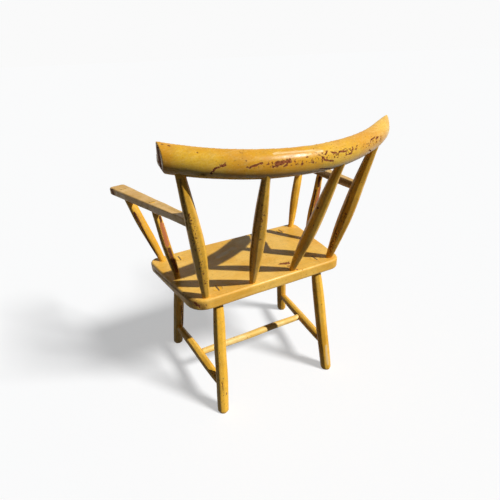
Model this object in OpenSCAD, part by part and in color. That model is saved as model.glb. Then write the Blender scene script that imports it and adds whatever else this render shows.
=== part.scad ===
// Hedge chair: a low armchair of hand-shaved sticks wedged into a thick plank seat,
// with a half-round crest rail across the back and a short arm on each side.
// The origin is on the floor under the middle of the chair's outline.
// +X is the sitter's left, +Y is the back of the chair and +Z is up.

/* [Seat] */
// Height of the seat's upper face above the floor
seat_height = 400; // [360:1:440]
// Thickness of the seat plank
seat_thick = 34.5; // [28:0.5:38]
// Depth of the seat from its front edge to its back edge
seat_depth = 311; // [296:1:330]
// Width of the seat along its back edge
seat_back_width = 492; // [480:1:510]
// Width of the seat along its front edge
seat_front_width = 562; // [552:1:580]
// How far the middle of the front edge lies to the sitter's left of the middle of the back edge
seat_skew = 7; // [0:1:10]
// Radius of the back corners, left and right
seat_back_corner = [54, 38]; // [30:1:60]
// Radius of the two front corners
seat_front_corner = 28; // [20:1:50]
// Width of the bevel worn along the seat's upper and lower edges
seat_bevel = 4; // [2:0.5:8]

/* [Shaving] */
// Number of flats shaved along every leg, post, spindle and stretcher
stick_flats = 10; // [8:1:12]

/* [Legs] */
// Thickest part of a leg
leg_d = 35.5; // [33:0.5:40]
// Diameter of a leg at the floor
leg_foot_d = 33.5; // [30:0.5:34]
// Height of the bevel worn round a foot
foot_bevel = 3; // [2:0.5:5]
// Diameter of the tenon that passes through the seat
leg_tenon_d = 27; // [22:0.5:29]
// Where the back left leg stands on the floor, across and back
back_left_foot = [200, 180]; // [-260:1:260]
// Where the back right leg stands on the floor
back_right_foot = [-186, 191]; // [-260:1:260]
// Where the front left leg stands on the floor
front_left_foot = [218, -202]; // [-260:1:260]
// Where the front right leg stands on the floor
front_right_foot = [-238, -181]; // [-260:1:260]
// Where the back left leg comes up through the seat
back_left_leg_top = [162, 116]; // [-220:1:220]
// Where the back right leg comes up through the seat
back_right_leg_top = [-172, 114]; // [-220:1:220]
// Where the front left leg comes up through the seat
front_left_leg_top = [196, -108]; // [-220:1:220]
// Where the front right leg comes up through the seat
front_right_leg_top = [-189, -114]; // [-220:1:220]
// Thickness of a wedge at its head
leg_wedge_thick = 4; // [3:0.5:5]
// How deep a wedge is driven into the leg
leg_wedge_deep = 24; // [18:1:28]

/* [Stretchers] */
// Thickest part of a side stretcher
side_stretcher_d = 29; // [24:0.5:31]
// Diameter of a side stretcher's tenons
side_tenon_d = 17; // [14:0.5:20]
// How far a side stretcher's tenons go past the middle of the leg
side_tenon_past = 6; // [2:0.5:9]
// Diameter of a side stretcher at the front legs
side_front_d = 22; // [19:0.5:25]
// Diameter of a side stretcher at the back legs
side_back_d = 25; // [20:0.5:27]
// Height of the side stretchers at the back legs, left and right
stretcher_back_z = [93, 101]; // [70:1:130]
// Height of the side stretchers at the front legs, left and right
stretcher_front_z = [85, 80]; // [60:1:120]
// Thickest part of the cross stretcher
cross_stretcher_d = 24.5; // [18:0.5:26]
// Diameter of the cross stretcher at its ends
cross_end_d = 20; // [17:0.5:21]
// Diameter of the cross stretcher's tenons
cross_tenon_d = 14; // [11:0.5:16]
// How far the cross stretcher's tenons go past the middle of a side stretcher
cross_tenon_past = 4; // [0:0.5:6]
// Distance of the cross stretcher from the front legs, along the left and right side stretchers
cross_from_front = [181, 176]; // [150:1:230]

/* [Back] */
// Thickest part of the two outer back posts, left and right
post_d = [35.5, 37]; // [32:0.5:42]
// Diameter of an outer post where it enters the seat
post_root_d = 20; // [17:0.5:23]
// Diameter of an outer post where it enters the crest rail
post_tip_d = 22; // [18:0.5:24]
// Thickest part of the two inner spindles, left and right
spindle_d = [34.5, 32.5]; // [28:0.5:38]
// Diameter of an inner spindle where it enters the seat
spindle_root_d = 18; // [15:0.5:21]
// Diameter of an inner spindle where it enters the crest rail
spindle_tip_d = 20; // [16:0.5:22]
// Where the left outer post enters the seat
post_left_base = [206, 137]; // [-230:1:230]
// Where the right outer post enters the seat
post_right_base = [-217, 129]; // [-230:1:230]
// Where the left inner spindle enters the seat
spindle_left_base = [62, 138]; // [-150:1:150]
// Where the right inner spindle enters the seat
spindle_right_base = [-73, 137]; // [-150:1:150]
// Where the outer posts enter the crest rail, across from its middle, left and right
post_tip_x = [263, -242]; // [-275:1:275]
// Where the inner spindles enter the crest rail, across from its middle, left and right
spindle_tip_x = [100, -92]; // [-150:1:150]
// Depth of the holes in the seat for posts and spindles
seat_hole_deep = 25; // [20:1:26]
// Depth of the holes in the crest rail
crest_hole_deep = 30; // [25:1:40]

/* [Crest rail] */
// Radius of the crest rail's sweep, to the middle of its thickness
crest_radius = 496; // [440:1:560]
// Height of the rail's flat front face
crest_tall = 64; // [52:1:70]
// Thickness of the half-round section
crest_thick = 34; // [31:0.5:38]
// Height of the rail's lower edge above the floor, at its middle
crest_low_z = 739; // [700:1:780]
// How far the rail's middle lies behind the middle of the seat
crest_back = 297; // [280:1:315]
// How far the rail leans back, in degrees
crest_lean = 13.4; // [6:0.2:18]
// How far the sitter's left end rides up, in degrees
crest_roll = 0.7; // [-2:0.1:2]
// How far the middle of the sweep lies to the sitter's right
crest_offset = 3.5; // [-10:0.5:10]
// Reach of the two ends from the middle, left and right
crest_reach = [297, 321]; // [285:1:330]
// How far each end is cut aslant so that its front is longer than its back, left and right, in degrees
crest_end_slant = [0, 30]; // [0:1:35]
// Where the flat that thins the front of the sitter's right end begins, across from the middle
crest_flat_from = 248; // [240:1:265]
// How far that flat turns back, in degrees
crest_flat_turn = 27.5; // [25:0.5:29]
// Radius of the rounded lower corner at each end
crest_corner = 22; // [15:1:34]

/* [Arms] */
// Width of an arm at its front
arm_front_width = 50; // [44:1:56]
// Width of an arm at the back post, left and right
arm_back_width = [30, 26]; // [22:1:31]
// Thickness of an arm
arm_thick = 22.5; // [17:0.5:24]
// Radius of the corners of an arm's front end, seen from above
arm_corner = 12; // [4:0.5:18]
// Radius of the underside's turn up to the front end, shaved in flats
arm_nose = 13; // [8:0.5:15]
// Width of the bevel worn along an arm's upper and lower edges
arm_bevel = 3; // [1:0.5:5]
// Height of an arm's middle at the outer post, left and right
arm_joint_z = [647, 649]; // [620:1:680]
// Front end of the left arm's middle line: across, back and up
arm_left_tip = [322, -276, 608]; // [-400:1:700]
// Front end of the right arm's middle line: across, back and up
arm_right_tip = [-312, -278, 622]; // [-400:1:700]
// Diameter of the round tenon on an arm's back end
arm_tenon_d = 14; // [11:0.5:15]
// How far the arm's tenon goes past the middle of the post
arm_tenon_past = 5; // [2:0.5:9]

/* [Arm posts] */
// Thickest part of the front and middle arm posts
arm_post_d = [29, 24]; // [20:0.5:32]
// Diameter of the front and middle arm posts where they enter the seat
arm_post_root_d = [19, 18]; // [15:0.5:22]
// Diameter of the front and middle arm posts under the arm
arm_post_top_d = [24, 19]; // [18:0.5:26]
// Diameter of the tenon that passes through the arm
arm_post_tenon_d = 16; // [13:0.5:17]
// Where the left front arm post enters the seat
arm_post_front_left_base = [247, -124]; // [-270:1:270]
// Where the right front arm post enters the seat
arm_post_front_right_base = [-244, -131]; // [-270:1:270]
// Where the left middle arm post enters the seat
arm_post_middle_left_base = [240, 3]; // [-260:1:260]
// Where the right middle arm post enters the seat
arm_post_middle_right_base = [-228, -8]; // [-260:1:260]
// Distance of the front arm posts from the arm's front end, left and right
front_post_from_tip = [75, 133]; // [60:1:160]
// Distance of the middle arm posts from the arm's front end, left and right
middle_post_from_tip = [281, 281]; // [240:1:330]
// Thickness of an arm post's wedge at its head
arm_wedge_thick = 3; // [2:0.5:4]
// How deep an arm post's wedge is driven
arm_wedge_deep = 17; // [12:1:20]

/* [Fits] */
// Clearance all round a tenon, wedge or shouldered joint
fit_gap = 0.1; // [0.05:0.05:0.3]
// How far the chair is moved so that the origin lies under the middle of its outline, across and back
origin_shift = [-5, -20.6]; // [-40:0.1:40]

/* [Hidden] */
$fn = 48;

// Places in the pairs of sizes above: left and right, and the front and middle arm posts
LEFT = 0;
RIGHT = 1;
FRONT = 0;
MIDDLE = 1;
ochre = [0.80, 0.58, 0.20];
bare_wood = [0.62, 0.42, 0.22];
// Number of rings that shape the swell of a stick
rings = 12;
// Number of flats that a plank's rounded corner is shaved in
corner_flats = 6;
// How far below the rail its end corners run out, so that they meet its underside at an angle
corner_drop = 0.5;
// Straight round length at each end of a stick, before its flats and its swell begin
straight_end = 6;
// How far the flats reach back over that round length
end_lap = 1;
// Where along its length each kind of stick is thickest, as a share of it
leg_peak = 0.5;
side_peak = 0.6;
cross_peak = 0.5;
post_peak = 0.42;
spindle_peak = 0.45;
arm_post_peak = 0.55;
// How full the swell is: at 1 it is a plain taper, and higher numbers keep it thick for longer
leg_fullness = 3.4;
stretcher_fullness = 2;
post_fullness = 1.6;
spindle_fullness = 1.8;
arm_post_fullness = 2;
// Where an arm's plank starts, from the middle of the post, whose body then cuts its shoulder
arm_plank_start = 4;
// Thickness of a wedge's thin edge, as a share of its head
wedge_edge_share = 0.25;
// How far a cut runs on past the piece that it cuts
clear = 20;
// How wide and how deep the cuts across the crest rail's ends are
crest_cut_wide = 180;
crest_cut_deep = 270;
// Longer and wider than the whole chair
whole = 1000;

// Vector helpers
function unit(v) = v / norm(v);
function mix(a, b, t) = a + (b - a) * t;
function on_seat(p) = [p[0], p[1], seat_height];
function on_floor(p) = [p[0], p[1], 0];
function at_height(a, b, z) = mix(a, b, (z - a[2]) / (b[2] - a[2]));
function toward(a, b, distance) = a + unit(b - a) * distance;

// The crest rail's own frame: the middle of its lower face, leaned back and rolled
function leaned(p) = [
    p[0],
    p[1] * cos(crest_lean) + p[2] * sin(crest_lean),
    -p[1] * sin(crest_lean) + p[2] * cos(crest_lean),
];
function rolled(p) = [
    p[0] * cos(crest_roll) - p[2] * sin(crest_roll),
    p[1],
    p[0] * sin(crest_roll) + p[2] * cos(crest_roll),
];
// The point under the rail's mid-thickness at a distance across from its middle
function crest_point(x) = [0, crest_back, crest_low_z] + rolled(leaned([
    x,
    sqrt(pow(crest_radius, 2) - pow(x + crest_offset, 2)) - crest_radius,
    0,
]));

// Ends of every stick, on its middle line
back_left_leg = [on_floor(back_left_foot), on_seat(back_left_leg_top)];
back_right_leg = [on_floor(back_right_foot), on_seat(back_right_leg_top)];
front_left_leg = [on_floor(front_left_foot), on_seat(front_left_leg_top)];
front_right_leg = [on_floor(front_right_foot), on_seat(front_right_leg_top)];
post_left = [on_seat(post_left_base), crest_point(post_tip_x[LEFT])];
post_right = [on_seat(post_right_base), crest_point(post_tip_x[RIGHT])];
spindle_left = [on_seat(spindle_left_base), crest_point(spindle_tip_x[LEFT])];
spindle_right = [on_seat(spindle_right_base), crest_point(spindle_tip_x[RIGHT])];
arm_left_line = [at_height(post_left[0], post_left[1], arm_joint_z[LEFT]), arm_left_tip];
arm_right_line = [at_height(post_right[0], post_right[1], arm_joint_z[RIGHT]), arm_right_tip];

function arm_post_line(base, arm, from_tip) = [on_seat(base), toward(arm[1], arm[0], from_tip)];
arm_post_front_left_line =
    arm_post_line(arm_post_front_left_base, arm_left_line, front_post_from_tip[LEFT]);
arm_post_front_right_line =
    arm_post_line(arm_post_front_right_base, arm_right_line, front_post_from_tip[RIGHT]);
arm_post_middle_left_line =
    arm_post_line(arm_post_middle_left_base, arm_left_line, middle_post_from_tip[LEFT]);
arm_post_middle_right_line =
    arm_post_line(arm_post_middle_right_base, arm_right_line, middle_post_from_tip[RIGHT]);

function stretcher_line(front_leg, back_leg, side) = [
    at_height(front_leg[0], front_leg[1], stretcher_front_z[side]),
    at_height(back_leg[0], back_leg[1], stretcher_back_z[side]),
];
stretcher_left_line = stretcher_line(front_left_leg, back_left_leg, LEFT);
stretcher_right_line = stretcher_line(front_right_leg, back_right_leg, RIGHT);
cross_line = [
    toward(stretcher_left_line[0], stretcher_left_line[1], cross_from_front[LEFT]),
    toward(stretcher_right_line[0], stretcher_right_line[1], cross_from_front[RIGHT]),
];

module place() {
    translate([origin_shift[0], origin_shift[1], 0]) children();
}

// Puts a piece's own z along a line, with its x kept close to the chair's x
module along(line) {
    d = line[1] - line[0];
    turn = atan2(d[1], d[0]);
    translate(line[0])
        rotate([0, acos(d[2] / norm(d)), turn])
        rotate([0, 0, -turn])
        children();
}

// Diameter of a shaved stick at a share of its length, from root_d through thick_d to tip_d
function swell(root_d, thick_d, tip_d, peak, fullness, share) =
    share < peak
        ? thick_d - (thick_d - root_d) * pow((peak - share) / peak, fullness)
        : thick_d - (thick_d - tip_d) * pow((share - peak) / (1 - peak), fullness);

// How much farther out the ridges between flats lie than the round that they are shaved from
ridge = 2 / (1 + cos(180 / stick_flats));

// A shaved stick of a given length along z, round at both ends, which run straight for root and
// tip beyond its length. A bevel narrows it over that height at its root, and grow makes it
// larger all over, for the hollow that another piece needs around it.
module stick(length, root_d, thick_d, tip_d, peak, fullness, root, tip, grow = 0, bevel = 0) {
    shaved = [for (i = [0:rings])
        let (share = i / rings)
        [
            swell(root_d, thick_d, tip_d, peak, fullness, share) / 2 * ridge + grow,
            straight_end + share * (length - 2 * straight_end),
        ]];
    root_r = root_d / 2 + grow;
    tip_r = tip_d / 2 + grow;
    low = straight_end - end_lap;
    high = length - low;
    rotate_extrude($fn = stick_flats) polygon(concat(
        [[0, low], [shaved[0][0], low]],
        shaved,
        [[shaved[rings][0], high], [0, high]]
    ));
    rotate_extrude() polygon(concat(
        [[0, -root - grow], [root_r - bevel, -root - grow]],
        bevel > 0 ? [[root_r - bevel, 0]] : [],
        [[root_r, bevel > 0 ? bevel : 0], [root_r, straight_end], [0, straight_end]]
    ));
    translate([0, 0, length - straight_end])
        cylinder(r = tip_r, h = straight_end + tip + grow);
}

// A straight round hole along a line, from before its start to beyond it
module hole(line, d, before, beyond) {
    along(line) translate([0, 0, -before])
        cylinder(d = d + 2 * fit_gap, h = before + beyond);
}

module above(z) {
    translate([-whole, -whole, z]) cube([2 * whole, 2 * whole, whole]);
}

module below(z) {
    translate([-whole, -whole, z - whole]) cube([2 * whole, 2 * whole, whole]);
}

// A plank outline with rounded corners: each corner is [x, y, radius], in order round the plank.
// A corner is shaved to its radius in short flats.
function flat(p) = [p[0], p[1]];
function corner(c, i) = c[(i + len(c)) % len(c)];
function edge_dir(c, i) = unit(flat(corner(c, i + 1)) - flat(corner(c, i)));
function turn_at(c, i) = acos(edge_dir(c, i - 1) * edge_dir(c, i));
function setback(c, i) = corner(c, i)[2] * tan(turn_at(c, i) / 2);
function arc_start(c, i) = flat(corner(c, i)) - edge_dir(c, i - 1) * setback(c, i);
function inward(c, i) = [-edge_dir(c, i)[1], edge_dir(c, i)[0]];
function arc_middle(c, i) = arc_start(c, i) + inward(c, i - 1) * corner(c, i)[2];
function heading(v) = atan2(v[1], v[0]);
function on_arc(c, i, share) =
    let (way = heading(arc_start(c, i) - arc_middle(c, i)) + turn_at(c, i) * share)
    arc_middle(c, i) + corner(c, i)[2] * [cos(way), sin(way)];
function outline_points(c) = [for (i = [0:len(c) - 1])
    for (k = [0:corner(c, i)[2] > 0 ? corner_flats : 0])
        corner(c, i)[2] > 0 ? on_arc(c, i, k / corner_flats) : flat(corner(c, i))];

// What is shaved off a square edge to leave a bevel
module edge_waste(bevel) {
    polygon([[-bevel - 1, 1], [1, 1], [1, -bevel - 1]]);
}

// The same waste along every edge of an outline, along its upper face at z = 0
module outline_waste(points, bevel) {
    count = len(points);
    for (i = [0:count - 1]) {
        from = points[i];
        run = points[(i + 1) % count] - from;
        translate(from - unit(run) * bevel)
            rotate([0, 0, heading(run)])
            rotate([90, 0, 90])
            linear_extrude(norm(run) + 2 * bevel)
            mirror([1, 0])
            edge_waste(bevel);
    }
}

// A plank from z = 0 down, with its upper and lower edges bevelled
module plank(c, thick, bevel) {
    points = outline_points(c);
    difference() {
        translate([0, 0, -thick]) linear_extrude(thick) polygon(points);
        outline_waste(points, bevel);
        translate([0, 0, -thick]) mirror([0, 0, 1]) outline_waste(points, bevel);
    }
}

seat_corners = [
    [seat_skew - seat_front_width / 2, -seat_depth / 2, seat_front_corner],
    [seat_skew + seat_front_width / 2, -seat_depth / 2, seat_front_corner],
    [seat_back_width / 2, seat_depth / 2, seat_back_corner[LEFT]],
    [-seat_back_width / 2, seat_depth / 2, seat_back_corner[RIGHT]],
];

module seat() {
    hole_deep = seat_hole_deep + fit_gap;
    color(ochre) place() difference() {
        translate([0, 0, seat_height])
            plank(seat_corners, seat_thick, seat_bevel);
        for (line = [back_left_leg, back_right_leg, front_left_leg, front_right_leg])
            hole([line[1], line[0]], leg_tenon_d, clear, seat_thick + clear);
        for (line = [post_left, post_right]) hole(line, post_root_d, hole_deep, clear);
        for (line = [spindle_left, spindle_right]) hole(line, spindle_root_d, hole_deep, clear);
        for (line = [arm_post_front_left_line, arm_post_front_right_line])
            hole(line, arm_post_root_d[FRONT], hole_deep, clear);
        for (line = [arm_post_middle_left_line, arm_post_middle_right_line])
            hole(line, arm_post_root_d[MIDDLE], hole_deep, clear);
    }
}

// A wedge for the end of a tenon at a distance along z, with its edge across y
module wedge_shape(at, tenon_d, thick, deep, gap) {
    edge = thick * wedge_edge_share;
    translate([0, 0, at])
        rotate([90, 0, 0])
        linear_extrude(tenon_d + clear, center = true)
        polygon([
            [-thick / 2 - gap, clear],
            [-thick / 2 - gap, 0],
            [-edge / 2 - gap, -deep - gap],
            [edge / 2 + gap, -deep - gap],
            [thick / 2 + gap, 0],
            [thick / 2 + gap, clear],
        ]);
}

// Legs: swelled between floor and seat, with a wedged tenon through the seat
function tenon_length(line) = norm(line[1] - line[0]) * seat_thick / seat_height;
module leg_body(line, grow = 0) {
    along(line) stick(
        norm(line[1] - line[0]) - tenon_length(line), leg_foot_d, leg_d, leg_tenon_d,
        leg_peak, leg_fullness, clear, tenon_length(line) + clear, grow, foot_bevel);
}

module leg(line, side_stretcher_line) {
    length = norm(line[1] - line[0]);
    color(ochre) place() difference() {
        leg_body(line);
        along(line) wedge_shape(length, leg_tenon_d, leg_wedge_thick, leg_wedge_deep, fit_gap);
        hole(side_stretcher_line, side_tenon_d, side_tenon_past + fit_gap, leg_d);
        above(seat_height);
        below(0);
    }
}

module leg_wedge(line) {
    length = norm(line[1] - line[0]);
    difference() {
        along(line) intersection() {
            wedge_shape(length, leg_tenon_d, leg_wedge_thick, leg_wedge_deep, 0);
            cylinder(d = leg_tenon_d, h = length + clear);
        }
        above(seat_height);
    }
}

module leg_wedges() {
    color(bare_wood) place()
        for (line = [back_left_leg, back_right_leg, front_left_leg, front_right_leg])
            leg_wedge(line);
}

// Side stretchers: shouldered against both legs, with a round tenon in each
function reversed(line) = [line[1], line[0]];
module side_body(line, grow = 0) {
    along(line) stick(
        norm(line[1] - line[0]), side_front_d, side_stretcher_d, side_back_d,
        side_peak, stretcher_fullness, 0, 0, grow);
}

module side_stretcher(line, front_leg, back_leg) {
    color(ochre) place() difference() {
        union() {
            difference() {
                side_body(line);
                leg_body(front_leg, fit_gap);
                leg_body(back_leg, fit_gap);
            }
            along(line) translate([0, 0, -side_tenon_past])
                cylinder(d = side_tenon_d, h = norm(line[1] - line[0]) + 2 * side_tenon_past);
        }
        hole(cross_line, cross_tenon_d, cross_tenon_past + fit_gap, side_stretcher_d);
        hole(reversed(cross_line), cross_tenon_d, cross_tenon_past + fit_gap, side_stretcher_d);
    }
}

module stretcher_cross() {
    length = norm(cross_line[1] - cross_line[0]);
    color(ochre) place() {
        difference() {
            along(cross_line) stick(
                length, cross_end_d, cross_stretcher_d, cross_end_d,
                cross_peak, stretcher_fullness, 0, 0);
            side_body(stretcher_left_line, fit_gap);
            side_body(stretcher_right_line, fit_gap);
        }
        along(cross_line) translate([0, 0, -cross_tenon_past])
            cylinder(d = cross_tenon_d, h = length + 2 * cross_tenon_past);
    }
}

// Outer posts and inner spindles of the back
module post_body(line, side, grow = 0) {
    along(line) stick(
        norm(line[1] - line[0]), post_root_d, post_d[side], post_tip_d,
        post_peak, post_fullness, seat_hole_deep, crest_hole_deep, grow);
}

module outer_post(line, side, arm_line) {
    color(ochre) place() difference() {
        post_body(line, side);
        hole(arm_line, arm_tenon_d, arm_tenon_past + fit_gap, post_d[side]);
    }
}

module inner_spindle(line, side) {
    color(ochre) place() along(line) stick(
        norm(line[1] - line[0]), spindle_root_d, spindle_d[side], spindle_tip_d,
        spindle_peak, spindle_fullness, seat_hole_deep, crest_hole_deep);
}

// Crest rail: a half-round section swept round a level arc, then leaned back
crest_round = (pow(crest_tall / 2, 2) + pow(crest_thick, 2)) / (2 * crest_thick);
crest_front_radius = crest_radius - crest_thick / 2;
crest_sweep = asin((max(crest_reach) + 2 * clear) / crest_front_radius);

module crest_section() {
    difference() {
        translate([crest_front_radius + crest_thick - crest_round, crest_tall / 2])
            circle(r = crest_round);
        translate([crest_front_radius - crest_tall, -crest_tall])
            square([crest_tall, crest_cut_wide]);
    }
}

// What is sawn off beyond one end, and shaved off its lower corner in short flats, from behind
module crest_end_waste(reach, offset, slant) {
    middle_y = sqrt(pow(crest_radius, 2) - pow(reach + offset, 2)) - crest_radius;
    low = crest_tall / 2 - crest_round - corner_drop;
    shaved = [for (k = [0:corner_flats])
        let (turn = 90 * k / corner_flats)
        [crest_corner * (cos(turn) - 1), low + crest_corner * (1 - sin(turn))]];
    translate([reach, middle_y, 0])
        rotate([0, 0, slant])
        rotate([90, 0, 0])
        linear_extrude(crest_cut_deep, center = true)
        polygon(concat(shaved, [
            [-crest_corner, low - clear],
            [crest_cut_wide, low - clear],
            [crest_cut_wide, crest_tall - low + clear],
            [0, crest_tall - low + clear],
        ]));
}

// The flat shaved on the front of the sitter's right end, in the rail's own frame
module crest_flat_waste() {
    from_centre = crest_flat_from - crest_offset;
    front_y = sqrt(pow(crest_front_radius, 2) - pow(from_centre, 2)) - crest_radius;
    translate([-crest_flat_from, front_y, -clear])
        rotate([0, 0, crest_flat_turn])
        translate([-crest_cut_wide, -crest_cut_deep, 0])
        cube([crest_cut_wide + clear, crest_cut_deep, crest_tall + 2 * clear]);
}

module crest_rail() {
    hole_deep = crest_hole_deep + fit_gap;
    color(ochre) place() difference() {
        translate([0, crest_back, crest_low_z])
            rotate([0, -crest_roll, 0])
            rotate([-crest_lean, 0, 0])
            difference() {
                translate([-crest_offset, -crest_radius, 0])
                    rotate([0, 0, 90 - crest_sweep])
                    rotate_extrude(angle = 2 * crest_sweep)
                    crest_section();
                crest_end_waste(crest_reach[LEFT], crest_offset, crest_end_slant[LEFT]);
                mirror([1, 0, 0])
                    crest_end_waste(crest_reach[RIGHT], -crest_offset, crest_end_slant[RIGHT]);
                crest_flat_waste();
            }
        for (line = [post_left, post_right])
            hole(reversed(line), post_tip_d, hole_deep, clear);
        for (line = [spindle_left, spindle_right])
            hole(reversed(line), spindle_tip_d, hole_deep, clear);
    }
}

// Arms: tapered planks whose own x runs from the post to the front end
module on_arm(line) {
    d = line[1] - line[0];
    translate(line[0]) rotate([0, -asin(d[2] / norm(d)), heading(d)]) children();
}

module arm_plank(length, back_width) {
    corners = [
        [arm_plank_start, -back_width / 2, 0],
        [length, -arm_front_width / 2, arm_corner],
        [length, arm_front_width / 2, arm_corner],
        [arm_plank_start, back_width / 2, 0],
    ];
    difference() {
        translate([0, 0, arm_thick / 2]) plank(corners, arm_thick, arm_bevel);
        translate([length - arm_nose, 0, arm_nose - arm_thick / 2])
            rotate([90, 0, 0])
            linear_extrude(2 * arm_front_width, center = true)
            difference() {
                translate([0, -arm_nose - 1]) square(arm_nose + 1);
                circle(r = arm_nose, $fn = 12);
            }
    }
}

module arm(line, post, side, front_post, middle_post) {
    length = norm(line[1] - line[0]);
    through = arm_thick + clear;
    color(ochre) place() difference() {
        union() {
            difference() {
                on_arm(line) arm_plank(length, arm_back_width[side]);
                post_body(post, side, fit_gap);
            }
            along(line) translate([0, 0, -arm_tenon_past])
                cylinder(d = arm_tenon_d, h = arm_tenon_past + post_d[side]);
        }
        hole(reversed(front_post), arm_post_tenon_d, through, through);
        hole(reversed(middle_post), arm_post_tenon_d, through, through);
    }
}

// Arm posts: swelled, shouldered under the arm, with a wedged tenon through it
module beyond_arm(line, z) {
    on_arm(line) translate([-clear, -arm_front_width, z])
        cube([norm(line[1] - line[0]) + 2 * clear, 2 * arm_front_width, 4 * arm_thick]);
}

module arm_post(line, arm_line, row) {
    length = norm(line[1] - line[0]);
    color(ochre) place() {
        difference() {
            along(line) stick(
                length, arm_post_root_d[row], arm_post_d[row], arm_post_top_d[row],
                arm_post_peak, arm_post_fullness, seat_hole_deep, 0);
            beyond_arm(arm_line, -arm_thick / 2 - fit_gap);
        }
        difference() {
            along(line) difference() {
                translate([0, 0, length - 2 * arm_thick])
                    cylinder(d = arm_post_tenon_d, h = 4 * arm_thick);
                arm_wedge_shape(length, fit_gap);
            }
            beyond_arm(arm_line, arm_thick / 2);
        }
    }
}

module arm_wedge_shape(length, gap) {
    rotate([0, 0, 90])
        wedge_shape(length + arm_thick / 2, arm_post_tenon_d, arm_wedge_thick, arm_wedge_deep, gap);
}

module arm_wedge(line, arm_line) {
    length = norm(line[1] - line[0]);
    difference() {
        along(line) intersection() {
            arm_wedge_shape(length, 0);
            cylinder(d = arm_post_tenon_d, h = length + 2 * arm_thick);
        }
        beyond_arm(arm_line, arm_thick / 2);
    }
}

module arm_post_wedges() {
    color(bare_wood) place() {
        arm_wedge(arm_post_front_left_line, arm_left_line);
        arm_wedge(arm_post_middle_left_line, arm_left_line);
        arm_wedge(arm_post_front_right_line, arm_right_line);
        arm_wedge(arm_post_middle_right_line, arm_right_line);
    }
}

module outer_post_left() outer_post(post_left, LEFT, arm_left_line);
module outer_post_right() outer_post(post_right, RIGHT, arm_right_line);
module inner_spindle_left() inner_spindle(spindle_left, LEFT);
module inner_spindle_right() inner_spindle(spindle_right, RIGHT);
module arm_left()
    arm(arm_left_line, post_left, LEFT, arm_post_front_left_line, arm_post_middle_left_line);
module arm_right()
    arm(arm_right_line, post_right, RIGHT, arm_post_front_right_line, arm_post_middle_right_line);
module arm_post_front_left() arm_post(arm_post_front_left_line, arm_left_line, FRONT);
module arm_post_front_right() arm_post(arm_post_front_right_line, arm_right_line, FRONT);
module arm_post_middle_left() arm_post(arm_post_middle_left_line, arm_left_line, MIDDLE);
module arm_post_middle_right() arm_post(arm_post_middle_right_line, arm_right_line, MIDDLE);
module leg_back_left() leg(back_left_leg, reversed(stretcher_left_line));
module leg_back_right() leg(back_right_leg, reversed(stretcher_right_line));
module leg_front_left() leg(front_left_leg, stretcher_left_line);
module leg_front_right() leg(front_right_leg, stretcher_right_line);
module stretcher_left() side_stretcher(stretcher_left_line, front_left_leg, back_left_leg);
module stretcher_right() side_stretcher(stretcher_right_line, front_right_leg, back_right_leg);

seat();
crest_rail();
outer_post_left();
outer_post_right();
inner_spindle_left();
inner_spindle_right();
arm_left();
arm_right();
arm_post_front_left();
arm_post_front_right();
arm_post_middle_left();
arm_post_middle_right();
leg_back_left();
leg_back_right();
leg_front_left();
leg_front_right();
stretcher_left();
stretcher_right();
stretcher_cross();
leg_wedges();
arm_post_wedges();
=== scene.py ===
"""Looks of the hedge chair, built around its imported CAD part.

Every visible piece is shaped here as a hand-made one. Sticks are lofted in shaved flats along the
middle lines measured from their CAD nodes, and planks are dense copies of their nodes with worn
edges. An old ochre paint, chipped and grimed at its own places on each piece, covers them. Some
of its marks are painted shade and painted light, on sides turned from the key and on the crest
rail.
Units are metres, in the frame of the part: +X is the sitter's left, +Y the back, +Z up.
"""

import math
from typing import NamedTuple

import bmesh
import bpy
import numpy as np
from mathutils import Matrix, Vector
from mathutils.bvhtree import BVHTree


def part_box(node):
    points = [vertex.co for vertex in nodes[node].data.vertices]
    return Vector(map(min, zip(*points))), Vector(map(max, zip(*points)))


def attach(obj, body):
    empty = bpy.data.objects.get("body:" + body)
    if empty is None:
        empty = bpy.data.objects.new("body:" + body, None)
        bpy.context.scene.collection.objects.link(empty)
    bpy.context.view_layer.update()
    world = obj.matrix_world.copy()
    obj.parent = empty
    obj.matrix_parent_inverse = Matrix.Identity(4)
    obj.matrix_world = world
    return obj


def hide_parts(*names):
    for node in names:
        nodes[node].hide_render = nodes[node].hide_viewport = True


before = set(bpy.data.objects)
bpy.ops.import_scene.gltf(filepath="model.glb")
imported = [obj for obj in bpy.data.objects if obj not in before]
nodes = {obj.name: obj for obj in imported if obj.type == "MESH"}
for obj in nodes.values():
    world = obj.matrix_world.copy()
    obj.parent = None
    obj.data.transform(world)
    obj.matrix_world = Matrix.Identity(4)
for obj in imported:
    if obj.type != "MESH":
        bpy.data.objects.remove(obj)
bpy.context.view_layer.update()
pieces = []

MM = 0.001

# Camera, fitted to the photograph
CAMERA_PLACE = Vector((0.48382, 0.94418, 0.98659))
CAMERA_RIGHT = Vector((-0.88259, 0.46908, -0.03146))
CAMERA_UP = Vector((-0.24121, -0.39437, 0.88673))
CAMERA_LOOK = Vector((-0.40354, -0.79021, -0.46121))
FOCAL_PIXELS = 384.57
PICTURE_PIXELS = 500
SENSOR_WIDTH = 36.0

# Light, from the side that the photograph's shadows tell. The photograph shows sharp shadows on
# the chair and a soft one on the floor, so each has a sun of its own width, in radians.
KEY_FROM = Vector((-0.45, 0.575, 0.68))
KEY_STRENGTH = 4.4
KEY_ANGLE = 0.013
FLOOR_KEY_ANGLE = 0.24
# The sky as it lights the chair, with a linear colour, and the backdrop that the camera sees
SKY_LEVEL = 0.05
SKY_COLOUR = (0.74, 0.86, 1.0, 1.0)
BACKDROP_LEVEL = 0.955
# The floor as it lights the chair and as the camera sees it, with a glow that pales its shadow
FLOOR_SIZE = 60.0
FLOOR_BOUNCE = (60, 60, 60)
FLOOR_SEEN = (188, 188, 188)
FLOOR_GLOW = 0.46
WHITE = (255, 255, 255)

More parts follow.
